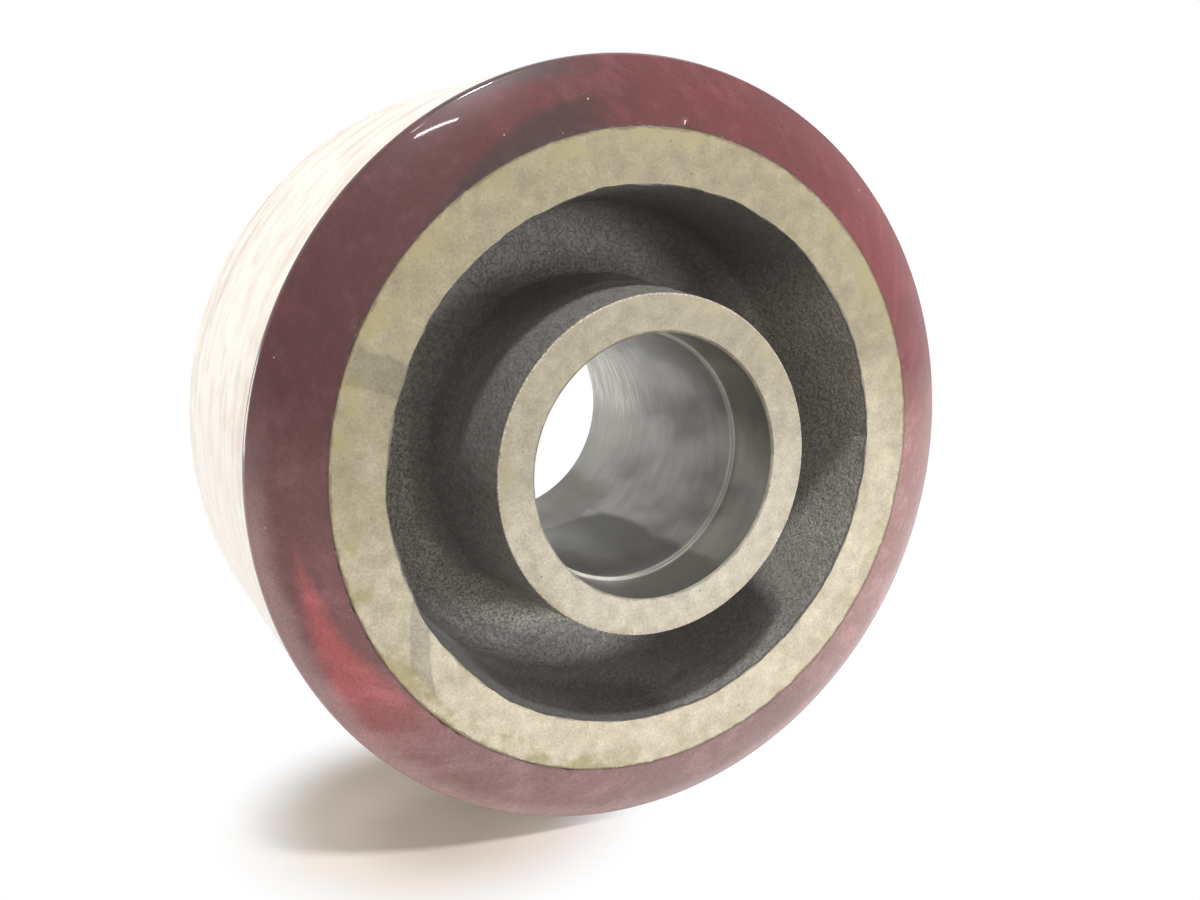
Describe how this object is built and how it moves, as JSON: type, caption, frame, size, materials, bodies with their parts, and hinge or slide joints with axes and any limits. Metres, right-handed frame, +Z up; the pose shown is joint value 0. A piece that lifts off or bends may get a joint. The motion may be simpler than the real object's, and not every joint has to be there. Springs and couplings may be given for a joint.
{
  "type": "load wheel",
  "caption": "Lift truck load wheel: a cast iron core with a machined rim, a deep cast recess and an open hub bored for bearings, and a bonded dark red polyurethane tyre.",
  "frame": {"origin": "centre of the wheel: the middle of the bore, half way along the hub", "axes": "+Y along the axle, -Y towards the face that the picture shows; +Z up, with the wheel standing on its tread"},
  "size_m": [0.1524, 0.082, 0.1524],
  "materials": {
    "core": "sand cast and painted black in the recess, machined bare grey on the rim and hub faces and in the bore",
    "tyre": "glossy translucent dark red polyurethane on the sides, ground matt on the tread"
  },
  "bodies": {
    "root": {"wheel_core": "core", "tyre": "tyre"}
  },
  "joints": []
}
